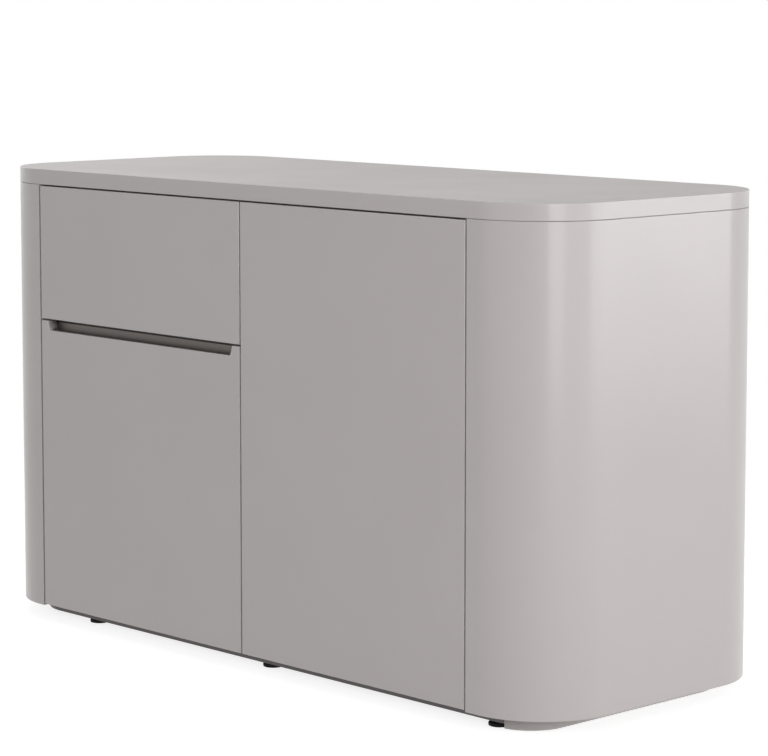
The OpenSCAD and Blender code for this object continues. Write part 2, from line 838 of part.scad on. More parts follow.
module latch_housing() {
    color(inside_board) difference() {
        block(latch_x - latch_w / 2, latch_x + latch_w / 2, latch_front_y,
            latch_front_y + latch_len, ceiling_z - latch_h, ceiling_z);
        bar_y(latch_x, latch_front_y - cut, plunger_tip_y + plunger_len + spring_len, latch_z,
            plunger_d / 2 + fit);
        latch_screw_set(fit);
    }
}
module latch_spring() {
    color(steel) difference() {
        bar_y(latch_x, plunger_tip_y + plunger_len, plunger_tip_y + plunger_len + spring_len,
            latch_z, plunger_d / 2 - spring_air);
        bar_y(latch_x, plunger_tip_y, plunger_tip_y + plunger_len + spring_len + cut, latch_z,
            plunger_d / 2 - spring_air - spring_wall);
    }
}
module latch_screws() {
    color(steel) latch_screw_set();
}
module door_bumpers() {
    color(dark) {
        for (z = [floor_z + bumper_low, divider_low_z - bumper_high])
            bar_y(middle_seam_x - front_gap / 2 - bumper_r, case_front_y - bumper_len, case_front_y,
                z, bumper_r);
        for (x = [case_left_x + bumper_end, partition_left_x - bumper_end])
            bar_y(x, case_front_y - bumper_len, case_front_y, ceiling_z + bumper_r + bumper_rise,
                bumper_r);
    }
}
module left_runner_middle() {
    color(steel) at_left_runner() runner_middle();
}
module right_runner_middle() {
    color(steel) at_right_runner() runner_middle();
}
module drawer_front() {
    color(lacquer) difference() {
        block(left_front_x[0], left_front_x[1], front_y, front_back_y, drawer_low_z, front_top_z);
        translate([left_front_x[0] - cut, 0, 0]) rotate([90, 0, 90])
            linear_extrude(left_front_x[1] - left_front_x[0] + 2 * cut)
                polygon([[front_back_y - drawer_bevel - cut, drawer_low_z - cut],
                    [front_back_y + cut, drawer_low_z - cut],
                    [front_back_y + cut, drawer_low_z + drawer_bevel + cut]]);
        drawer_screw_set(fit);
    }
}
module drawer_bottom_block() {
    block(box_left_x + box_t - box_groove, box_right_x - box_t + box_groove,
        front_back_y + box_t - box_groove, box_back_y - box_t + box_groove,
        box_low_z + box_bottom_rise, box_low_z + box_bottom_rise + box_bottom_t);
}
module drawer_inner_front() {
    color(inside_board) difference() {
        block(box_left_x + box_t, box_right_x - box_t, front_back_y, front_back_y + box_t,
            box_low_z, box_low_z + box_h);
        drawer_bottom_block();
        drawer_screw_set(fit);
    }
}
module drawer_left_side() {
    color(inside_board) difference() {
        block(box_left_x, box_left_x + box_t, front_back_y, box_back_y, box_low_z, box_low_z + box_h);
        drawer_bottom_block();
    }
}
module drawer_right_side() {
    color(inside_board) difference() {
        block(box_right_x - box_t, box_right_x, front_back_y, box_back_y, box_low_z,
            box_low_z + box_h);
        drawer_bottom_block();
    }
}
module drawer_back() {
    color(inside_board) difference() {
        block(box_left_x + box_t, box_right_x - box_t, box_back_y - box_t, box_back_y, box_low_z,
            box_low_z + box_h);
        drawer_bottom_block();
    }
}
module drawer_bottom() {
    color(inside_board) drawer_bottom_block();
}
module left_runner_inner() {
    color(steel) at_left_runner() runner_inner();
}
module right_runner_inner() {
    color(steel) at_right_runner() runner_inner();
}
module drawer_screws() {
    color(steel) drawer_screw_set();
}
module lower_door() {
    color(lacquer) difference() {
        block(left_front_x[0], left_front_x[1], front_y, front_back_y, front_low_z, door_top_z);
        translate([0, front_back_y + cut, 0]) rotate([90, 0, 0])
            linear_extrude(front_t + 2 * cut) polygon(notch_outline);
        block(groove_x[0], groove_x[1], groove_y, front_back_y + cut, groove_low_z,
            door_top_z - notch_h + cut);
        block(grip_x[0], grip_x[1], grip_back_y, front_back_y + cut, groove_low_z, door_top_z + cut);
        at_lower_hinges() hinge_cup_bore();
    }
}
module grip_profile() {
    color(dark) {
        block(grip_x[0] + fit, grip_x[1] - fit, grip_back_y, front_back_y, groove_low_z + fit,
            door_top_z - profile_air);
        block(groove_x[0] + fit, groove_x[1] - fit, groove_y + fit, front_back_y,
            groove_low_z + fit, groove_low_z + grip_wall);
        block(groove_x[0] + fit, groove_x[1] - fit, groove_y + fit, groove_y + grip_wall,
            groove_low_z + fit, door_top_z - notch_h - profile_air);
    }
}
module lower_hinge_cups() {
    color(steel) at_lower_hinges() hinge_cup();
}
module lower_hinge_pins() {
    color(steel) at_lower_hinges() hinge_pin();
}
module lower_cup_screws() {
    color(steel) at_lower_hinges() hinge_cup_screws_local();
}
module right_door() {
    color(lacquer) difference() {
        block(right_front_x[0], right_front_x[1], front_y, front_back_y, front_low_z, front_top_z);
        at_right_hinges() hinge_cup_bore();
    }
}
module right_hinge_cups() {
    color(steel) at_right_hinges() hinge_cup();
}
module right_hinge_pins() {
    color(steel) at_right_hinges() hinge_pin();
}
module right_cup_screws() {
    color(steel) at_right_hinges() hinge_cup_screws_local();
}
module latch_strike() {
    color(steel) bar_y(latch_x, front_back_y, front_back_y + strike_t, latch_z, strike_r);
}
module latch_plunger() {
    color(black) bar_y(latch_x, plunger_tip_y, plunger_tip_y + plunger_len, latch_z, plunger_d / 2);
}

worktop();
sub_top();
bottom_board();
left_end_shell();
right_end_shell();
left_end_rib();
right_end_rib();
left_side_panel();
right_side_panel();
partition();
drawer_divider();
back_panel();
left_shelf();
right_shelf_low();
right_shelf_high();
shelf_pins();
cam_discs();
cam_bolts();
worktop_screws();
back_screws();
plinth_strip();
end_skirt();
plinth_brackets();
plinth_screws();
foot_pads();
foot_stems();
foot_sockets();
lower_hinge_arms();
right_hinge_arms();
hinge_plate_screws();
left_runner_fixed();
right_runner_fixed();
runner_screws();
latch_housing();
latch_spring();
latch_screws();
door_bumpers();
left_runner_middle();
right_runner_middle();
drawer_front();
drawer_inner_front();
drawer_left_side();
drawer_right_side();
drawer_back();
drawer_bottom();
left_runner_inner();
right_runner_inner();
drawer_screws();
lower_door();
grip_profile();
lower_hinge_cups();
lower_hinge_pins();
lower_cup_screws();
right_door();
right_hinge_cups();
right_hinge_pins();
right_cup_screws();
latch_strike();
latch_plunger();
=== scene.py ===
"""Looks of a low credenza with rounded ends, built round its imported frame.

Sizes in the classes are millimetres. Meshes and shaders are in metres, in the frame's own axes:
X runs along the front to the right, the front looks along -Y, and Z is up.
"""

import logging
import math
from collections.abc import Callable, Iterable, Sequence
from dataclasses import dataclass
from enum import Enum

import bmesh
import bpy
from mathutils import Matrix, Vector


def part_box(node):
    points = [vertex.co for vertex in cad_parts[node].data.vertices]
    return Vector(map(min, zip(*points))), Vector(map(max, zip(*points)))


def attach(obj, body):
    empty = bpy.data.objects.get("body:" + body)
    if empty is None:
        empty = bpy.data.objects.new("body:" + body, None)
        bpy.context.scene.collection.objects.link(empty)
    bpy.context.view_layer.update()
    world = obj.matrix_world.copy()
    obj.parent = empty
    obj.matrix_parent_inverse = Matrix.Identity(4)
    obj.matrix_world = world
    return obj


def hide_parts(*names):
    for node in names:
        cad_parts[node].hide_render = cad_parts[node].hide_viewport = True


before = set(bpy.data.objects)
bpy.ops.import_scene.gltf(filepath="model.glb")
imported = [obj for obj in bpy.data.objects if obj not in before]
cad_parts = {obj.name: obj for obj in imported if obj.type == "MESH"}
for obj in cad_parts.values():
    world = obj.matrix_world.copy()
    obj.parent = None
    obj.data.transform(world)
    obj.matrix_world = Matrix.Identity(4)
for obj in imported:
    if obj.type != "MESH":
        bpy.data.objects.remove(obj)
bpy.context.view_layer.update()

LOG = logging.getLogger("credenza")
MM = 0.001

# Lengths in metres below which points count as one, or an edge as upright.
MERGED = 1e-6
JOINED = 1e-7
UPRIGHT = 1e-9
# How far a front's rim may lie behind its face, in metres.
ON_FACE = 1e-5
# The turn up to which facets are one flat face, and from which a line stays crisp, in degrees.
FLAT_TURN = 0.5
CRISP_TURN = 30.0
# How much of a face's normal has to lie along -Y, or may lie along Z, for the tests of faces.
NEARLY_FORWARD = 0.95
STEEP = 0.7
# The number of facets in each rounded corner of the outline.
CORNER_STEPS = 48

# Places of the colour mix node's inputs and of its result.
MIX_SHARE, MIX_FROM, MIX_TO, MIX_RESULT = 0, 6, 7, 2
# The values between which nearly all of a noise lies.
NOISE_LOW, NOISE_HIGH = 0.3, 0.7


class Body(Enum):
    """The bodies of the frame that a piece can ride on."""

    CARCASS = "carcass"
    RUNNER_MIDDLES = "runner_middles"
    DRAWER = "drawer"
    LOWER_DOOR = "lower_door"
    RIGHT_DOOR = "right_door"


class Slot(Enum):
    """The record's material slots."""

    LACQUER = "lacquer"
    BOARD = "carcass_board"
    DARK_PROFILE = "dark_profile"
    STEEL = "hardware_steel"
    BLACK_PLASTIC = "black_plastic"
    GREY_PLASTIC = "grey_plastic"


class Facing(Enum):
    """The ways in which a screw's head can look."""

    INWARDS = "to the middle of its column"
    BACK = "to the back"
    DOWN = "to the floor"


def linear(code: str) -> tuple[float, float, float, float]:
    """Turns an sRGB colour into the linear colour that a shader takes.

    Args:
        code: Six hex digits, such as "b8b4b0".

    Returns:
        Linear red, green and blue, and an alpha of one.
    """
    red, green, blue = (
        c / 12.92 if c <= 0.04045 else ((c + 0.055) / 1.055) ** 2.4
        for c in (int(code[i:i + 2], 16) / 255 for i in (0, 2, 4))
    )
    return red, green, blue, 1.0


def add_node(tree: bpy.types.NodeTree, kind: str, settings: dict[str, object] | None = None,
             inputs: dict[str | int, object] | None = None) -> bpy.types.Node:
    """Adds one node to a tree, with its settings, its values and its links.

    Args:
        tree: The node tree that gets the node.
        kind: The node's type name in Blender.
        settings: Properties of the node itself.
        inputs: What each input gets, by name or number: a plain value, or a socket to link.

    Returns:
        The new node.
    """
    node = tree.nodes.new(kind)
    for name, value in (settings or {}).items():
        setattr(node, name, value)
    for name, value in (inputs or {}).items():
        if isinstance(value, bpy.types.NodeSocket):
            tree.links.new(value, node.inputs[name])
        else:
            node.inputs[name].default_value = value
    return node


@dataclass(frozen=True)
class Finish:
    """What a surface is made of, as a base for each kind of finish."""

    name: str
    colour: str
    roughness: float

    def material(self) -> bpy.types.Material:
        """Returns this finish as a material, which is made once."""
        material = bpy.data.materials.get(self.name)
        if material is None:
            material = bpy.data.materials.new(self.name)
            material.use_nodes = True
            tree = material.node_tree
            tree.nodes.clear()
            place = add_node(tree, "ShaderNodeTexCoord").outputs["Object"]
            shader = add_node(tree, "ShaderNodeBsdfPrincipled", inputs=self.surface(tree, place))
            add_node(tree, "ShaderNodeOutputMaterial", inputs={"Surface": shader.outputs["BSDF"]})
        return material

    def surface(self, tree: bpy.types.NodeTree,
                place: bpy.types.NodeSocket) -> dict[str | int, object]:
        """Builds the finish's patterns.

        Args:
            tree: The material's node tree.
            place: The socket with the point's place on the object.

        Returns:
            What each input of the Principled shader gets.
        """
        raise NotImplementedError


@dataclass(frozen=True)
class SatinLacquer(Finish):
    """Sprayed and cured furniture lacquer on fibreboard.

    It levels almost flat: what the eye gets is a soft, slightly blurred reflection, a trace of
    orange peel at grazing light and a very faint cloudiness where the spray overlapped.
    """

    cloud: str = "b5afae"
    cloud_mm: float = 220.0
    peel_mm: float = 4.0
    peel_depth_mm: float = 0.006
    gloss_swing: float = 0.02
    coat: float = 0.4
    coat_roughness: float = 0.12

    def surface(self, tree: bpy.types.NodeTree,
                place: bpy.types.NodeSocket) -> dict[str | int, object]:
        """Builds the cloudy tone, the orange peel and the gloss of the lacquer."""
        cloud = add_node(tree, "ShaderNodeTexNoise", inputs={
            "Vector": place, "Scale": 1 / (self.cloud_mm * MM), "Detail": 3.0, "Roughness": 0.55})
        tone = add_node(tree, "ShaderNodeMix", {"data_type": "RGBA"}, {
            MIX_SHARE: cloud.outputs["Fac"], MIX_FROM: linear(self.colour),
            MIX_TO: linear(self.cloud)})
        peel = add_node(tree, "ShaderNodeTexNoise", inputs={
            "Vector": place, "Scale": 1 / (self.peel_mm * MM), "Detail": 1.0})
        bump = add_node(tree, "ShaderNodeBump", inputs={
            "Height": peel.outputs["Fac"], "Distance": self.peel_depth_mm * MM, "Strength": 1.0})
        gloss = add_node(tree, "ShaderNodeMapRange", inputs={
            "Value": cloud.outputs["Fac"], "From Min": NOISE_LOW, "From Max": NOISE_HIGH,
            "To Min": self.roughness - self.gloss_swing,
            "To Max": self.roughness + self.gloss_swing})
        return {"Base Color": tone.outputs[MIX_RESULT], "Roughness": gloss.outputs["Result"],
                "Normal": bump.outputs["Normal"], "IOR": 1.5,
                "Coat Weight": self.coat, "Coat Roughness": self.coat_roughness}


@dataclass(frozen=True)
class MelamineBoard(Finish):
    """Chipboard with a melamine face, pressed against a fine pearl plate.

    The plate leaves shallow rounded pits of about a millimetre, which break the gloss into a dry
    sheen. They are drawn 2 mm wide, so that they still show in a render of the whole piece.
    """

    fleck: str = "c3c0bb"
    print_mm: float = 35.0
    pearl_mm: float = 2.0
    pearl_depth_mm: float = 0.03
    pit_dulled: float = 0.08
    rim_polished: float = 0.04

    def surface(self, tree: bpy.types.NodeTree,
                place: bpy.types.NodeSocket) -> dict[str | int, object]:
        """Builds the pearl texture and the faint print of the paper under it."""
        print_tone = add_node(tree, "ShaderNodeTexNoise", inputs={
            "Vector": place, "Scale": 1 / (self.print_mm * MM), "Detail": 6.0, "Roughness": 0.7})
        tone = add_node(tree, "ShaderNodeMix", {"data_type": "RGBA"}, {
            MIX_SHARE: print_tone.outputs["Fac"], MIX_FROM: linear(self.colour),
            MIX_TO: linear(self.fleck)})
        pearl = add_node(tree, "ShaderNodeTexVoronoi", {"feature": "SMOOTH_F1"}, {
            "Vector": place, "Scale": 1 / (self.pearl_mm * MM), "Smoothness": 0.6})
        bump = add_node(tree, "ShaderNodeBump", inputs={
            "Height": pearl.outputs["Distance"], "Distance": self.pearl_depth_mm * MM,
            "Strength": 0.6})
        gloss = add_node(tree, "ShaderNodeMapRange", inputs={
            "Value": pearl.outputs["Distance"], "From Min": 0.0, "From Max": 0.8,
            "To Min": self.roughness + self.pit_dulled,
            "To Max": self.roughness - self.rim_polished})
        return {"Base Color": tone.outputs[MIX_RESULT], "Roughness": gloss.outputs["Result"],
                "Normal": bump.outputs["Normal"], "IOR": 1.55}


@dataclass(frozen=True)
class BrushedMetal(Finish):
    """Metal with fine lines along one axis, from brushing, rolling or drawing.

    The lines are a few hundredths of a millimetre wide. They are drawn 0.6 mm wide and some
    60 mm long, so that they show as a faint streak in the reflection.
    """

    streak: str = "808080"
    along: tuple[float, float, float] = (1.0, 0.0, 0.0)
    line_mm: float = 0.6
    length_mm: float = 60.0
    depth_mm: float = 0.004
    gloss_swing: float = 0.06

    def surface(self, tree: bpy.types.NodeTree,
                place: bpy.types.NodeSocket) -> dict[str | int, object]:
        """Builds the drawn lines in tone, gloss and relief."""
        across, lengthwise = 1 / (self.line_mm * MM), 1 / (self.length_mm * MM)
        scale = [lengthwise if a else across for a in self.along]
        lines_at = add_node(tree, "ShaderNodeMapping", {"vector_type": "POINT"}, {
            "Vector": place, "Scale": scale})
        lines = add_node(tree, "ShaderNodeTexNoise", inputs={
            "Vector": lines_at.outputs["Vector"], "Scale": 1.0, "Detail": 3.0, "Roughness": 0.6})
        tone = add_node(tree, "ShaderNodeMix", {"data_type": "RGBA"}, {
            MIX_SHARE: lines.outputs["Fac"], MIX_FROM: linear(self.colour),
            MIX_TO: linear(self.streak)})
        gloss = add_node(tree, "ShaderNodeMapRange", inputs={
            "Value": lines.outputs["Fac"], "From Min": NOISE_LOW, "From Max": NOISE_HIGH,
            "To Min": self.roughness - self.gloss_swing,
            "To Max": self.roughness + self.gloss_swing})
        bump = add_node(tree, "ShaderNodeBump", inputs={
            "Height": lines.outputs["Fac"], "Distance": self.depth_mm * MM, "Strength": 1.0})
        return {"Base Color": tone.outputs[MIX_RESULT], "Roughness": gloss.outputs["Result"],
                "Normal": bump.outputs["Normal"], "Metallic": 1.0}


@dataclass(frozen=True)
class MouldedPlastic(Finish):
    """Injection-moulded plastic from a spark-eroded mould, which leaves a fine even grain."""

    grain_mm: float = 0.8
    grain_depth_mm: float = 0.02
    gloss_swing: float = 0.1
    worn: str = "2a2a2a"
    ior: float = 1.5

    def surface(self, tree: bpy.types.NodeTree,
                place: bpy.types.NodeSocket) -> dict[str | int, object]:
        """Builds the grain, and the slightly paler tone of the grain's tips."""
        grain = add_node(tree, "ShaderNodeTexNoise", inputs={
            "Vector": place, "Scale": 1 / (self.grain_mm * MM), "Detail": 2.0})
        tone = add_node(tree, "ShaderNodeMix", {"data_type": "RGBA"}, {
            MIX_SHARE: grain.outputs["Fac"], MIX_FROM: linear(self.colour),
            MIX_TO: linear(self.worn)})
        bump = add_node(tree, "ShaderNodeBump", inputs={
            "Height": grain.outputs["Fac"], "Distance": self.grain_depth_mm * MM, "Strength": 0.7})
        gloss = add_node(tree, "ShaderNodeMapRange", inputs={
            "Value": grain.outputs["Fac"], "To Min": self.roughness - self.gloss_swing,
            "To Max": self.roughness + self.gloss_swing})
        return {"Base Color": tone.outputs[MIX_RESULT], "Roughness": gloss.outputs["Result"],
                "Normal": bump.outputs["Normal"], "IOR": self.ior}


@dataclass(frozen=True)
class PressedFelt(Finish):
    """Grey pressed felt of short fibres, with a soft sheen and no reflection."""

    fibre: str = "8b8783"
    fibre_mm: float = 0.7
    fibre_depth_mm: float = 0.1

    def surface(self, tree: bpy.types.NodeTree,
                place: bpy.types.NodeSocket) -> dict[str | int, object]:
        """Builds the felt's crossing fibres."""
        fibres = add_node(tree, "ShaderNodeTexNoise", inputs={
            "Vector": place, "Scale": 1 / (self.fibre_mm * MM), "Detail": 4.0, "Distortion": 1.5})
        tone = add_node(tree, "ShaderNodeMix", {"data_type": "RGBA"}, {
            MIX_SHARE: fibres.outputs["Fac"], MIX_FROM: linear(self.colour),
            MIX_TO: linear(self.fibre)})
        bump = add_node(tree, "ShaderNodeBump", inputs={
            "Height": fibres.outputs["Fac"], "Distance": self.fibre_depth_mm * MM,
            "Strength": 0.8})
        return {"Base Color": tone.outputs[MIX_RESULT], "Roughness": self.roughness,
                "Normal": bump.outputs["Normal"], "Sheen Weight": 0.3}


LACQUER = SatinLacquer("satin polyurethane lacquer, warm pale grey", "bbb5b4", 0.36)
WORKTOP_LACQUER = SatinLacquer("matt hard-wearing worktop lacquer, warm pale grey", "c6c0bf", 0.46,
                                coat=0.0)
BOARD = MelamineBoard("melamine-faced chipboard, light grey", "d3cecb", 0.5, fleck="c7c2bf")
# The edge band's dark taupe is partly its own colour and partly painted shade: seen through the
# gaps around the fronts, it stands in for the shade there.
GAP_SHADE_EDGE_BAND = MouldedPlastic("ABS edge band, dark taupe with painted gap shade", "524d49", 0.45, worn="5c5652",
                           grain_depth_mm=0.01)
GRIP_METAL = BrushedMetal("anodised aluminium, dark taupe", "5f5a57", 0.42, streak="736d69")
PLINTH_METAL = BrushedMetal("anodised aluminium, plinth", "565253", 0.45, streak="5e595a")
NICKEL = BrushedMetal("nickel-plated pressed steel", "c9c5bd", 0.24, streak="bdb8af",
                      along=(0.0, 1.0, 0.0), line_mm=1.5, length_mm=30.0)
ZINC = BrushedMetal("zinc-plated rolled steel", "b9bcc0", 0.32, streak="a6aab0",
                    along=(0.0, 1.0, 0.0), line_mm=1.2, length_mm=50.0)
BLACK_NYLON = MouldedPlastic("glass-filled nylon, black", "070707", 0.6, worn="161616", ior=1.25)
GREY_PLASTIC = MouldedPlastic("acetal, light grey", "a5a5a2", 0.4, worn="b0b0ad")
FELT = PressedFelt("pressed felt, grey", "767370", 0.95)


def looks_forward(face: bmesh.types.BMFace) -> bool:
    """Tells whether a face is a board's front edge.

    Args:
        face: The face to look at.

    Returns:
        True for a face that looks along -Y, but for a slight turn.
    """
    return face.normal.y < -NEARLY_FORWARD


def stands_upright(face: bmesh.types.BMFace) -> bool:
    """Tells whether a face is a slab's edge and not its top or underside.

    Args:
        face: The face to look at.

    Returns:
        True for a face that stands steeper than 45 degrees.
    """
    return abs(face.normal.z) < STEEP


def box_shape(low: Sequence[float], high: Sequence[float]) -> bmesh.types.BMesh:
    """Makes a box between two corners.

    Args:
        low: The lowest corner, in millimetres.
        high: The highest corner, in millimetres.

    Returns:
        The box, in metres.
    """
    low_corner, high_corner = Vector(low) * MM, Vector(high) * MM
    shape = bmesh.new()
    size = high_corner - low_corner
    bmesh.ops.create_cube(shape, size=1.0, matrix=Matrix.LocRotScale(
        (low_corner + high_corner) / 2, None, size))
    return shape


def soften(shape: bmesh.types.BMesh, edges: Iterable[bmesh.types.BMEdge], radius: float,
           steps: int = 3) -> None:
    """Rounds some edges of a shape.

    Args:
        shape: The shape to change.
        edges: Its edges to round.
        radius: The radius, in millimetres.
        steps: The number of facets in the rounding.
    """
    bmesh.ops.bevel(shape, geom=list(edges), offset=radius * MM, offset_type="OFFSET",
                    segments=steps, profile=0.5, affect="EDGES", clamp_overlap=True, material=-1)


def sharp_edges(shape: bmesh.types.BMesh, degrees: float = 40.0,
                chosen: Callable[[bmesh.types.BMEdge], bool] | None = None,
                ) -> list[bmesh.types.BMEdge]:
    """Finds the edges at which a shape turns sharply.

    Args:
        shape: The shape to look at.
        degrees: The least turn that counts.
        chosen: A further test, if only some of them are wanted.

    Returns:
        The edges.
    """
    return [e for e in shape.edges
            if len(e.link_faces) == 2 and e.calc_face_angle(0.0) > math.radians(degrees)
            and (chosen is None or chosen(e))]


def rounded_slab(low: Sequence[float], high: Sequence[float],
                 radius: float) -> bmesh.types.BMesh:
    """Makes an upright slab with four rounded corners.

    Args:
        low: The lowest corner of its box, in millimetres.
        high: The highest corner of its box, in millimetres.
        radius: The radius of the corners, in millimetres.

    Returns:
        The slab, in metres.
    """
    shape = box_shape(low, high)
    upright = [e for e in shape.edges
               if (e.verts[0].co - e.verts[1].co).xy.length < UPRIGHT]
    soften(shape, upright, radius, CORNER_STEPS)
    return shape


def wall_of(shape: bmesh.types.BMesh, thickness: float, cut_x: float,
            keep_right: bool) -> None:
    """Turns a slab into an upright bent wall that is cut off at a plane across X.

    Args:
        shape: The slab, whose sides become the wall's outer face.
        thickness: The wall's thickness, in millimetres.
        cut_x: Where the wall is cut off, in millimetres.
        keep_right: Whether the part to the right of the cut stays.
    """
    caps = [f for f in shape.faces if not stands_upright(f)]
    bmesh.ops.delete(shape, geom=caps, context="FACES_ONLY")
    bmesh.ops.bisect_plane(
        shape, geom=shape.verts[:] + shape.edges[:] + shape.faces[:], dist=JOINED,
        plane_co=(cut_x * MM, 0, 0), plane_no=(-1 if keep_right else 1, 0, 0), clear_outer=True)
    bmesh.ops.solidify(shape, geom=shape.faces[:], thickness=thickness * MM)
    bmesh.ops.recalc_face_normals(shape, faces=shape.faces[:])


def shape_of(node: str) -> bmesh.types.BMesh:
    """Copies a node of the frame as one merged shape, with its flat faces whole.

    Args:
        node: The node's name.

    Returns:
        The copy, in metres.
    """
    shape = bmesh.new()
    shape.from_mesh(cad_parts[node].data)
    bmesh.ops.remove_doubles(shape, verts=shape.verts[:], dist=MERGED)
    bmesh.ops.dissolve_limit(shape, angle_limit=math.radians(FLAT_TURN),
                             verts=shape.verts[:], edges=shape.edges[:])
    return shape


def lathe(profile: Sequence[tuple[float, float]], steps: int) -> bmesh.types.BMesh:
    """Turns a profile round the Z axis.

    Args:
        profile: Its points as radius and height, in millimetres, from bottom to top.
        steps: The number of facets round the axis.

    Returns:
        The turned shape, in metres.
    """
    shape = bmesh.new()
    points = [shape.verts.new((r * MM, 0, z * MM)) for r, z in profile]
    edges = [shape.edges.new(pair) for pair in zip(points, points[1:])]
    bmesh.ops.spin(shape, geom=points + edges, axis=(0, 0, 1), cent=(0, 0, 0),
                   angle=2 * math.pi, steps=steps, use_merge=True)
    bmesh.ops.remove_doubles(shape, verts=shape.verts[:], dist=JOINED)
    bmesh.ops.recalc_face_normals(shape, faces=shape.faces[:])
    return shape


def islands(node: str) -> list[tuple[Vector, Vector]]:
    """Finds the separate solids of a node.

    Args:
        node: The node's name.

    Returns:
        The lowest and the highest corner of each, in metres.
    """
    shape = bmesh.new()
    shape.from_mesh(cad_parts[node].data)
    bmesh.ops.remove_doubles(shape, verts=shape.verts[:], dist=MERGED)
    waiting, boxes = set(shape.verts), []
    while waiting:
        open_ends, solid = [waiting.pop()], []
        while open_ends:
            vert = open_ends.pop()
            solid.append(vert.co.copy())
            for edge in vert.link_edges:
                other = edge.other_vert(vert)
                if other in waiting:
                    waiting.remove(other)
                    open_ends.append(other)
        boxes.append((Vector(map(min, *solid)), Vector(map(max, *solid))))
    shape.free()
    return boxes


def add_piece(name: str, shape: bmesh.types.BMesh, finish: Finish, body: Body,
              stands_for: Sequence[str] = (), edge_finish: Finish | None = None,
              is_edge: Callable[[bmesh.types.BMFace], bool] = looks_forward) -> None:
    """Turns a shape into a piece that rides on a body of the frame.

    Args:
        name: The piece's name.
        shape: Its shape, which is used up.
        finish: The finish of its faces.
        body: The body that it moves with.
        stands_for: The nodes of the frame that it replaces.
        edge_finish: The finish of the faces at the edge, if they differ.
        is_edge: Tells which faces these are.
    """
    mesh = bpy.data.meshes.new(name)
    if edge_finish:
        for face in shape.faces:
            face.material_index = 1 if is_edge(face) else 0
    shape.to_mesh(mesh)
    shape.free()
    for used in (finish, edge_finish):
        if used:
            mesh.materials.append(used.material())
    mesh.shade_smooth()
    mesh.set_sharp_from_angle(angle=math.radians(CRISP_TURN))
    piece = bpy.data.objects.new(name, mesh)
    bpy.context.scene.collection.objects.link(piece)
    normals = piece.modifiers.new("flat faces lead the shading", "WEIGHTED_NORMAL")
    normals.keep_sharp = True
    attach(piece, body.value)
    if stands_for:
        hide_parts(*stands_for)
    LOG.info("%s: %d faces on %s", name, len(mesh.polygons), body.value)


@dataclass
class OuterBody:
    """The lacquered outside that stays put: worktop, end shells, back, plinth and skirt."""

    length: float = 1276.0
    depth: float = 512.0
    height: float = 750.0
    corner: float = 128.0
    worktop: float = 25.0
    underside: float = 25.0
    seam: float = 0.25
    shell: float = 15.0
    left_seam: float = -501.5
    right_seam: float = 487.5
    plinth_inset: float = 40.0
    plinth_wall: float = 6.0
    plinth_foot: float = 8.0
    skirt_from: float = 525.0
    skirt_to: float = 578.0
    skirt_corner: float = 64.0
    skirt_foot: float = 1.0
    edge: float = 1.2
    fine_edge: float = 0.6
    strip_edge: float = 0.4
    strip_gap: float = 0.2
    worktop_turn: float = 60.0

    def outline(self, inset: float, low_z: float, high_z: float) -> bmesh.types.BMesh:
        """Makes a slab with the body's outline, moved inwards.

        Args:
            inset: How far the outline moves inwards.
            low_z: The slab's underside.
            high_z: The slab's upper face.

        Returns:
            The slab.
        """
        x, y = self.length / 2 - inset, self.depth / 2 - inset
        return rounded_slab((-x, -y, low_z), (x, y, high_z), self.corner - inset)

    def build(self) -> None:
        """Builds every outer piece."""
        self.build_worktop()
        self.build_shell("left_end_shell", self.left_seam, False)
        self.build_shell("right_end_shell", self.right_seam, True)
        self.build_base()
        back = shape_of("back_panel")
        soften(back, sharp_edges(back), self.fine_edge, 2)
        add_piece("back_panel_lacquered", back, LACQUER, Body.CARCASS,
                  ["back_panel"])

    def build_worktop(self) -> None:
        """Builds the worktop: a matt top, and an edge as satin as the shells below it."""
        top = self.outline(0, self.height - self.worktop, self.height)
        soften(top, sharp_edges(top, self.worktop_turn), self.edge)
        add_piece("worktop_lacquered", top, WORKTOP_LACQUER, Body.CARCASS,
                  ["worktop"], LACQUER, stands_upright)

    def build_shell(self, node: str, seam_x: float, right: bool) -> None:
        """Builds the bent shell of one end.

        Args:
            node: The node of the frame that it stands for.
            seam_x: Where its two upright edges lie.
            right: Whether it is the right end.
        """
        shell = self.outline(0, self.underside, self.height - self.worktop - self.seam)
        wall_of(shell, self.shell, seam_x, right)
        soften(shell, sharp_edges(shell), self.fine_edge, 2)
        add_piece(f"{node}_lacquered", shell, LACQUER, Body.CARCASS, [node])

    def build_base(self) -> None:
        """Builds the dark plinth strip and the curved skirt at the right end."""
        strip = self.outline(self.plinth_inset, self.plinth_foot, self.underside)
        wall_of(strip, self.plinth_wall, self.skirt_from - self.strip_gap, False)
        soften(strip, sharp_edges(strip), self.strip_edge, 2)
        add_piece("plinth_strip_anodised", strip, PLINTH_METAL, Body.CARCASS,
                  ["plinth_strip"])
        y = self.depth / 2 - self.plinth_inset
        skirt = rounded_slab((self.skirt_from - 2 * self.skirt_corner, -y, self.skirt_foot),
                             (self.skirt_to, y, self.underside), self.skirt_corner)
        wall_of(skirt, self.plinth_wall, self.skirt_from, True)
        soften(skirt, sharp_edges(skirt), self.fine_edge, 2)
        add_piece("end_skirt_lacquered", skirt, LACQUER, Body.CARCASS, ["end_skirt"])


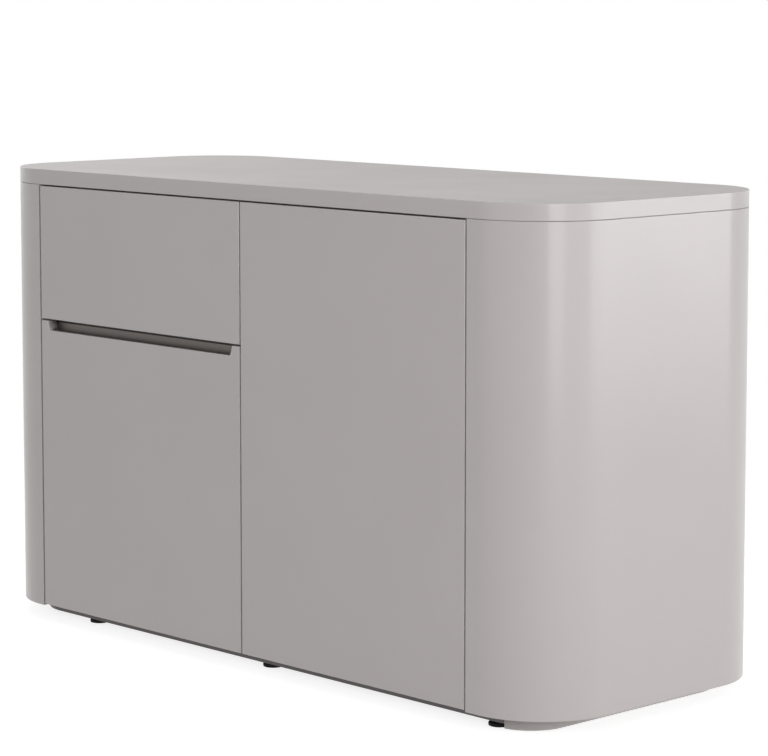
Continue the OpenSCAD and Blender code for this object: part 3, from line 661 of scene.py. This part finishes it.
@dataclass
class Fronts:
    """The drawer front, the two doors and the dark grip profile between them."""

    edge: float = 1.1
    grip_edge: float = 0.2
    shadow_line: float = 2.5

    def build(self) -> None:
        """Builds the three fronts and the grip profile."""
        for node, body in (("drawer_front", Body.DRAWER), ("lower_door", Body.LOWER_DOOR),
                           ("right_door", Body.RIGHT_DOOR)):
            front = shape_of(node)
            face_y = min(v.co.y for v in front.verts)
            soften(front, sharp_edges(front, chosen=lambda e: all(
                v.co.y < face_y + ON_FACE for v in e.verts)), self.edge)
            add_piece(f"{node}_lacquered", front, LACQUER, body, [node])
        grip = shape_of("grip_profile")
        # The grip's top is cut lower, so the dark edge band of the board behind it shows above it
        # as a painted shadow line under the drawer.
        lip = max(v.co.z for v in grip.verts) - self.shadow_line * MM
        bmesh.ops.bisect_plane(grip, geom=grip.verts[:] + grip.edges[:] + grip.faces[:],
                               plane_co=(0, 0, lip), plane_no=(0, 0, 1), clear_outer=True)
        bmesh.ops.holes_fill(grip, edges=[e for e in grip.edges if e.is_boundary])
        soften(grip, sharp_edges(grip), self.grip_edge, 2)
        add_piece("grip_profile_anodised", grip, GRIP_METAL, Body.LOWER_DOOR,
                  ["grip_profile"])


@dataclass
class Boards:
    """The melamine-faced boards of the carcass and the drawer box."""

    edge: float = 0.5
    carcass: tuple[str, ...] = (
        "sub_top", "bottom_board", "left_end_rib", "right_end_rib", "left_side_panel",
        "right_side_panel", "partition", "drawer_divider", "left_shelf", "right_shelf_low",
        "right_shelf_high")
    drawer: tuple[str, ...] = (
        "drawer_inner_front", "drawer_left_side", "drawer_right_side", "drawer_back",
        "drawer_bottom")

    def build(self) -> None:
        """Builds every board with eased edges and a dark front edge band, which paints shade in
        the gaps.
        """
        for nodes, body in ((self.carcass, Body.CARCASS), (self.drawer, Body.DRAWER)):
            for node in nodes:
                board = shape_of(node)
                soften(board, sharp_edges(board), self.edge, 2)
                add_piece(f"{node}_board", board, BOARD, body, [node], GAP_SHADE_EDGE_BAND)


@dataclass
class Feet:
    """The levelling feet: moulded pads with threaded stems.

    The points of the sole and the rim are counted from the pad's outer corners. A turn of the
    thread has its crest between two shares of the pitch.
    """

    pad_radius: float = 16.0
    pad_height: float = 6.0
    sole: tuple[tuple[float, float], ...] = ((-1.4, 0.0), (-0.4, 0.35), (0.0, 1.2))
    rim: tuple[tuple[float, float], ...] = ((0.0, -1.7), (-0.3, -1.2), (-1.7, 0.0))
    seat_width: float = 2.2
    seat_play: float = 0.3
    seat_depth: float = 0.6
    stem_radius: float = 4.0
    thread_depth: float = 0.6
    crest: tuple[float, float] = (0.45, 0.55)
    pitch: float = 1.25
    facets: int = 48

    def build(self) -> None:
        """Builds a pad and a threaded stem at each foot's place."""
        places = [(low + high) / 2 for low, high in islands("foot_pads")]
        stem_low, stem_high = (corner.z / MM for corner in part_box("foot_stems"))
        self.repeat("foot_pads_moulded", self.pad_profile(), places, BLACK_NYLON,
                    "foot_pads")
        self.repeat("foot_stems_threaded", self.stem_profile(stem_low, stem_high), places, ZINC,
                    "foot_stems")

    def pad_profile(self) -> list[tuple[float, float]]:
        """Returns the pad's outline, from the middle of its sole to its seat for the stem."""
        radius, top, floor = self.pad_radius, self.pad_height, self.pad_height - self.seat_depth
        points = [(0.0, 0.0)]
        points += [(radius + x, z) for x, z in self.sole]
        points += [(radius + x, top + z) for x, z in self.rim]
        return points + [(self.stem_radius + self.seat_width, top),
                         (self.stem_radius + self.seat_play, floor), (0.0, floor)]

    def stem_profile(self, low: float, high: float) -> list[tuple[float, float]]:
        """Returns the outline of a threaded stem.

        Args:
            low: The stem's lower end.
            high: The stem's upper end.

        Returns:
            The outline, with a crest and a root for each turn of the thread.
        """
        root, turns = self.stem_radius - self.thread_depth, int((high - low) / self.pitch)
        points = [(0.0, low), (root, low)]
        for turn in range(turns):
            z = low + turn * self.pitch
            points += [(self.stem_radius, z + share * self.pitch) for share in self.crest]
            points.append((root, z + self.pitch))
        return points + [(0.0, high)]

    def repeat(self, name: str, profile: list[tuple[float, float]], places: list[Vector],
               finish: Finish, node: str) -> None:
        """Turns a profile at each foot's place, as one piece.

        Args:
            name: The piece's name.
            profile: The outline to turn.
            places: The middle of each foot.
            finish: The piece's finish.
            node: The node that it stands for.
        """
        feet = bmesh.new()
        one = lathe(profile, self.facets)
        mesh = bpy.data.meshes.new(name)
        one.to_mesh(mesh)
        one.free()
        for place in places:
            before = len(feet.verts)
            feet.from_mesh(mesh)
            feet.verts.ensure_lookup_table()
            bmesh.ops.translate(feet, verts=feet.verts[before:], vec=(place.x, place.y, 0))
        bpy.data.meshes.remove(mesh)
        add_piece(name, feet, finish, Body.CARCASS, [node])


@dataclass(frozen=True)
class ScrewGroup:
    """The screws or cams of one node, each with a cross recess for the screwdriver.

    A head is a flat face with many corners that looks the right way.
    """

    node: str
    body: Body
    facing: Facing
    column_x: float = 0.0
    reach: float = 1.3
    half_width: float = 0.35
    depth: float = 1.1
    taper: float = 0.6
    edge: float = 0.15
    head_corners: int = 12
    head_aim: float = 0.99

    def build(self) -> None:
        """Copies the node and cuts a recess into each head."""
        shape = shape_of(self.node)
        soften(shape, sharp_edges(shape), self.edge, 2)
        for face in [f for f in shape.faces if len(f.verts) > self.head_corners and
                     f.normal.dot(self.outwards(f.calc_center_median())) > self.head_aim]:
            self.cut_recess(shape, face)
        bmesh.ops.recalc_face_normals(shape, faces=shape.faces[:])
        add_piece(f"{self.node}_plated", shape, ZINC, self.body, [self.node])

    def outwards(self, place: Vector) -> Vector:
        """Gives the direction in which a head looks.

        Args:
            place: Where the head is.

        Returns:
            The direction, one long.
        """
        if self.facing is Facing.BACK:
            return Vector((0, 1, 0))
        if self.facing is Facing.DOWN:
            return Vector((0, 0, -1))
        return Vector((math.copysign(1, self.column_x * MM - place.x), 0, 0))

    def cut_recess(self, shape: bmesh.types.BMesh, face: bmesh.types.BMFace) -> None:
        """Cuts a tapering cross into a head.

        Args:
            shape: The shape that the head belongs to.
            face: The head's flat face.
        """
        centre, normal, rim = face.calc_center_median(), face.normal.copy(), list(face.edges)
        turn = Vector((0, 0, 1)).rotation_difference(normal).to_matrix()
        bmesh.ops.delete(shape, geom=[face], context="FACES_ONLY")
        corners = []
        for quarter in range(4):
            spin = turn @ Matrix.Rotation(quarter * math.pi / 2, 3, "Z")
            for x, y in ((self.reach, -self.half_width), (self.reach, self.half_width),
                         (self.half_width, self.half_width)):
                corners.append(shape.verts.new(centre + spin @ Vector((x, y, 0)) * MM))
        mouth = [shape.edges.new(pair) for pair in zip(corners, corners[1:] + corners[:1])]
        bmesh.ops.triangle_fill(shape, use_beauty=True, edges=rim + mouth, normal=normal)
        walls = bmesh.ops.extrude_edge_only(shape, edges=mouth)["geom"]
        deep = [v for v in walls if isinstance(v, bmesh.types.BMVert)]
        bmesh.ops.scale(shape, verts=deep, vec=(self.taper,) * 3,
                        space=Matrix.Translation(-centre))
        bmesh.ops.translate(shape, verts=deep, vec=-normal * self.depth * MM)
        bmesh.ops.contextual_create(
            shape, geom=[e for e in walls if isinstance(e, bmesh.types.BMEdge)])


@dataclass
class Hardware:
    """The metal parts, the screws, the push latch and the parts that only get a finish."""

    edge: float = 0.25
    housing_edge: float = 0.8
    cage_edge: float = 1.0
    cage_half_height: float = 17.5
    cage_length: float = 16.0
    cage_from_web: float = 1.2
    cage_past_lips: float = 0.1
    screws: tuple[ScrewGroup, ...] = (
        ScrewGroup("worktop_screws", Body.CARCASS, Facing.DOWN, reach=2.2, half_width=0.5),
        ScrewGroup("back_screws", Body.CARCASS, Facing.BACK, reach=2.2, half_width=0.5),
        ScrewGroup("drawer_screws", Body.DRAWER, Facing.BACK, reach=2.2, half_width=0.5),
        ScrewGroup("plinth_screws", Body.CARCASS, Facing.DOWN),
        ScrewGroup("latch_screws", Body.CARCASS, Facing.DOWN, reach=1.0, half_width=0.25),
        ScrewGroup("hinge_plate_screws", Body.CARCASS, Facing.INWARDS),
        ScrewGroup("runner_screws", Body.CARCASS, Facing.INWARDS, column_x=-254.0),
        ScrewGroup("lower_cup_screws", Body.LOWER_DOOR, Facing.BACK),
        ScrewGroup("right_cup_screws", Body.RIGHT_DOOR, Facing.BACK),
        ScrewGroup("cam_discs", Body.CARCASS, Facing.INWARDS, column_x=250.0, reach=4.0,
                   half_width=0.8, depth=2.5),
    )

    def build(self) -> None:
        """Builds the metal parts, the latch's housing, the screws and the runners' cages."""
        for node, body, finish in (
                ("lower_hinge_arms", Body.CARCASS, NICKEL),
                ("right_hinge_arms", Body.CARCASS, NICKEL),
                ("lower_hinge_cups", Body.LOWER_DOOR, NICKEL),
                ("right_hinge_cups", Body.RIGHT_DOOR, NICKEL),
                ("left_runner_fixed", Body.CARCASS, ZINC),
                ("right_runner_fixed", Body.CARCASS, ZINC),
                ("left_runner_middle", Body.RUNNER_MIDDLES, ZINC),
                ("right_runner_middle", Body.RUNNER_MIDDLES, ZINC),
                ("left_runner_inner", Body.DRAWER, ZINC),
                ("right_runner_inner", Body.DRAWER, ZINC),
                ("plinth_brackets", Body.CARCASS, ZINC),
                ("latch_strike", Body.RIGHT_DOOR, NICKEL)):
            part = shape_of(node)
            soften(part, sharp_edges(part), self.edge, 2)
            add_piece(f"{node}_plated", part, finish, body, [node])
        housing = shape_of("latch_housing")
        soften(housing, sharp_edges(housing), self.housing_edge)
        add_piece("latch_housing_moulded", housing, GREY_PLASTIC, Body.CARCASS,
                  ["latch_housing"])
        for group in self.screws:
            group.build()
        for side in ("left", "right"):
            self.build_cage(side)

    def build_cage(self, side: str) -> None:
        """Builds the nylon end of a runner's ball cage, in the middle member's mouth.

        Args:
            side: Which runner it belongs to, left or right.
        """
        low, high = (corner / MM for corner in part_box(f"{side}_runner_middle"))
        middle_z = (low.z + high.z) / 2
        web, lips = self.cage_from_web, self.cage_past_lips
        x = (low.x + web, high.x + lips) if side == "left" else (low.x - lips, high.x - web)
        cage = box_shape((x[0], low.y, middle_z - self.cage_half_height),
                         (x[1], low.y + self.cage_length, middle_z + self.cage_half_height))
        soften(cage, sharp_edges(cage), self.cage_edge)
        add_piece(f"{side}_runner_cage_end", cage, BLACK_NYLON, Body.RUNNER_MIDDLES)

    def dress(self) -> None:
        """Gives the small parts that keep the frame's own shape their finish."""
        finishes = {
            ZINC: ("shelf_pins", "cam_bolts", "latch_spring", "lower_hinge_pins",
                   "right_hinge_pins"),
            BLACK_NYLON: ("foot_sockets", "latch_plunger"),
            FELT: ("door_bumpers",),
        }
        for finish, nodes in finishes.items():
            for node in nodes:
                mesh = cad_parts[node].data
                mesh.materials.clear()
                mesh.materials.append(finish.material())


@dataclass(frozen=True)
class Softbox:
    """A soft rectangular lamp that looks at the object, with its sizes in metres."""

    name: str
    place: tuple[float, float, float]
    width: float
    height: float
    watts: float
    aim: tuple[float, float, float] = (0.0, 0.0, 0.4)

    def build(self) -> None:
        """Adds the lamp to the scene."""
        lamp = bpy.data.lights.new(self.name, "AREA")
        lamp.shape = "RECTANGLE"
        lamp.size, lamp.size_y = self.width, self.height
        lamp.energy = self.watts
        holder = bpy.data.objects.new(self.name, lamp)
        holder.location = self.place
        look = Vector(self.aim) - Vector(self.place)
        holder.rotation_euler = look.to_track_quat("-Z", "Y").to_euler()
        bpy.context.scene.collection.objects.link(holder)


@dataclass(frozen=True)
class ReflectorCard:
    """A glowing upright sheet beside the object, with its sizes in metres.

    It stands on the floor between two corners. Its glow grows over the heights of the fade.
    """

    name: str
    near_corner: tuple[float, float]
    far_corner: tuple[float, float]
    strength: float
    height: float = 1.1
    fade: tuple[float, float] = (0.0, 0.55)

    def build(self) -> None:
        """Adds the card to the scene, as part of the stage."""
        start, end = Vector((*self.near_corner, 0.0)), Vector((*self.far_corner, 0.0))
        # A grid of size 0.5 is one metre wide, so the matrix gives it its sides.
        shape = bmesh.new()
        bmesh.ops.create_grid(shape, x_segments=1, y_segments=1, size=0.5)
        along, up = (end - start), Vector((0.0, 0.0, self.height))
        bmesh.ops.transform(shape, verts=shape.verts[:], matrix=Matrix((
            (along.x, up.x, 0.0, (start.x + end.x) / 2),
            (along.y, up.y, 0.0, (start.y + end.y) / 2),
            (0.0, self.height, 1.0, self.height / 2),
            (0.0, 0.0, 0.0, 1.0))))
        mesh = bpy.data.meshes.new(self.name)
        shape.to_mesh(mesh)
        shape.free()
        material = bpy.data.materials.new(self.name)
        material.use_nodes = True
        tree = material.node_tree
        tree.nodes.clear()
        place = add_node(tree, "ShaderNodeTexCoord").outputs["Object"]
        height = add_node(tree, "ShaderNodeSeparateXYZ", inputs={"Vector": place}).outputs["Z"]
        low, high = self.fade
        strength = add_node(tree, "ShaderNodeMapRange", inputs={
            "Value": height, "From Min": low, "From Max": high, "To Min": 1.0,
            "To Max": self.strength})
        glow = add_node(tree, "ShaderNodeEmission", inputs={
            "Color": (1.0, 1.0, 1.0, 1.0), "Strength": strength.outputs["Result"]})
        add_node(tree, "ShaderNodeOutputMaterial", inputs={"Surface": glow.outputs["Emission"]})
        mesh.materials.append(material)
        card = bpy.data.objects.new(self.name, mesh)
        bpy.context.scene.collection.objects.link(card)


@dataclass
class Studio:
    """A pale floor, soft lamps and the camera.

    Lamps, cards and floor are in metres. The camera's distance and height are in millimetres, its
    azimuth and turn in degrees, and its tilt in radians.
    """

    cards: tuple[ReflectorCard, ...] = (
        ReflectorCard("back right card", (3.12, 0.6), (2.2, 2.35), 5.0),
        ReflectorCard("front right card", (2.66, -1.8), (3.1, -0.97), 5.5),
        ReflectorCard("dim corner card", (3.12, -0.9), (3.14, 0.5), 2.6),
    )

    softboxes: tuple[Softbox, ...] = (
        Softbox("front right softbox", (2.6, -2.8, 1.9), 2.4, 1.8, 30.0),
        Softbox("front softbox", (-0.6, -3.6, 1.7), 2.4, 1.8, 34.5),
        Softbox("right softbox", (3.0, -1.15, 1.45), 1.8, 1.2, 10.0),
        Softbox("top softbox", (-0.3, 0.0, 3.2), 3.0, 2.4, 11.5),
        Softbox("back softbox", (0.9, 3.5, 2.2), 2.4, 1.6, 21.0),
        Softbox("back left softbox", (-3.4, 1.2, 2.6), 2.4, 1.6, 12.0),
        Softbox("left softbox", (-3.4, 0.3, 1.2), 1.8, 1.2, 6.5),
    )
    ambient: float = 0.22
    floor_half: float = 40.0
    floor_tone: str = "b4b4b4"
    floor_lift: float = 0.8
    floor_fade: tuple[float, float] = (1.3, 2.6)

    focal_px: float = 2887.7
    image_px: float = 768.0
    sensor_mm: float = 36.0
    azimuth: float = 47.056
    turn: float = -0.433
    distance: float = 4528.2
    height: float = 1036.4
    tilt: float = 0.1064
    shift: float = -0.1

    def build(self) -> None:
        """Builds the floor, the world, the lamps and the camera."""
        self.build_floor()
        self.build_world()
        for softbox in self.softboxes:
            softbox.build()
        for card in self.cards:
            card.build()
        self.build_camera()

    def build_floor(self) -> None:
        """Builds the floor, which keeps the shadow and fades into the white backdrop."""
        shape = bmesh.new()
        bmesh.ops.create_grid(shape, x_segments=1, y_segments=1, size=self.floor_half)
        mesh = bpy.data.meshes.new("studio_floor")
        shape.to_mesh(mesh)
        shape.free()
        floor = bpy.data.objects.new("studio_floor", mesh)
        bpy.context.scene.collection.objects.link(floor)
        material = bpy.data.materials.new("matt white studio floor")
        material.use_nodes = True
        tree = material.node_tree
        tree.nodes.clear()
        place = add_node(tree, "ShaderNodeTexCoord").outputs["Object"]
        reach = add_node(tree, "ShaderNodeVectorMath", {"operation": "LENGTH"}, {0: place})
        near, far = self.floor_fade
        fade = add_node(tree, "ShaderNodeMapRange", {"interpolation_type": "SMOOTHSTEP"}, {
            "Value": reach.outputs["Value"], "From Min": near, "From Max": far,
            "To Min": self.floor_lift, "To Max": 1.0})
        tone = add_node(tree, "ShaderNodeMapRange", {"interpolation_type": "SMOOTHSTEP"}, {
            "Value": reach.outputs["Value"], "From Min": near, "From Max": far,
            "To Min": linear(self.floor_tone)[0], "To Max": 0.0})
        rays = add_node(tree, "ShaderNodeLightPath")
        matt = add_node(tree, "ShaderNodeBsdfDiffuse", inputs={"Color": tone.outputs["Result"]})
        lift = add_node(tree, "ShaderNodeMath", {"operation": "MULTIPLY"}, {
            0: self.seen_rays(tree, rays), 1: fade.outputs["Result"]})
        glow = add_node(tree, "ShaderNodeEmission", inputs={
            "Color": (1.0, 1.0, 1.0, 1.0), "Strength": lift.outputs["Value"]})
        both = add_node(tree, "ShaderNodeAddShader", inputs={
            0: matt.outputs["BSDF"], 1: glow.outputs["Emission"]})
        add_node(tree, "ShaderNodeOutputMaterial", inputs={"Surface": both.outputs["Shader"]})
        mesh.materials.append(material)

    def seen_rays(self, tree: bpy.types.NodeTree, rays: bpy.types.Node) -> bpy.types.NodeSocket:
        """Gives one for the camera's rays and for those that metal and glass send on.

        Args:
            tree: The tree that gets the nodes.
            rays: The tree's Light Path node.

        Returns:
            The socket that is one for such a ray and zero for any other.
        """
        mirrored = add_node(tree, "ShaderNodeMath", {"operation": "MAXIMUM"}, {
            0: rays.outputs["Is Glossy Ray"], 1: rays.outputs["Is Transmission Ray"]})
        seen = add_node(tree, "ShaderNodeMath", {"operation": "MAXIMUM"}, {
            0: rays.outputs["Is Camera Ray"], 1: mirrored.outputs["Value"]})
        return seen.outputs["Value"]

    def build_world(self) -> None:
        """Builds a grey surround that the camera and shiny parts see as white."""
        world = bpy.data.worlds.new("studio")
        bpy.context.scene.world = world
        world.use_nodes = True
        tree = world.node_tree
        tree.nodes.clear()
        rays = add_node(tree, "ShaderNodeLightPath")
        strength = add_node(tree, "ShaderNodeMapRange", inputs={
            "Value": self.seen_rays(tree, rays), "To Min": self.ambient, "To Max": 1.0})
        sky = add_node(tree, "ShaderNodeBackground", inputs={
            "Color": (1.0, 1.0, 1.0, 1.0), "Strength": strength.outputs["Result"]})
        add_node(tree, "ShaderNodeOutputWorld", inputs={"Surface": sky.outputs["Background"]})

    def build_camera(self) -> None:
        """Builds the camera where the photograph was taken from."""
        lens = bpy.data.cameras.new("camera")
        lens.sensor_width = self.sensor_mm
        lens.lens = self.focal_px / self.image_px * lens.sensor_width
        lens.shift_y = self.shift
        camera = bpy.data.objects.new("camera", lens)
        azimuth = math.radians(self.azimuth)
        camera.location = Vector((self.distance * math.sin(azimuth),
                                  -self.distance * math.cos(azimuth), self.height)) * MM
        camera.rotation_euler = (math.pi / 2 - self.tilt, 0.0,
                                 azimuth + math.radians(self.turn))
        bpy.context.scene.collection.objects.link(camera)
        bpy.context.scene.camera = camera


def main() -> None:
    """Builds the whole scene, piece by piece."""
    logging.basicConfig(level=logging.INFO, format="%(name)s: %(message)s")
    bpy.context.scene.view_settings.view_transform = "Standard"
    Studio().build()
    hardware = Hardware()
    for group in (OuterBody(), Fronts(), Boards(), Feet(), hardware):
        LOG.info("building %s", type(group).__name__)
        group.build()
    hardware.dress()


if __name__ == "__main__":
    main()
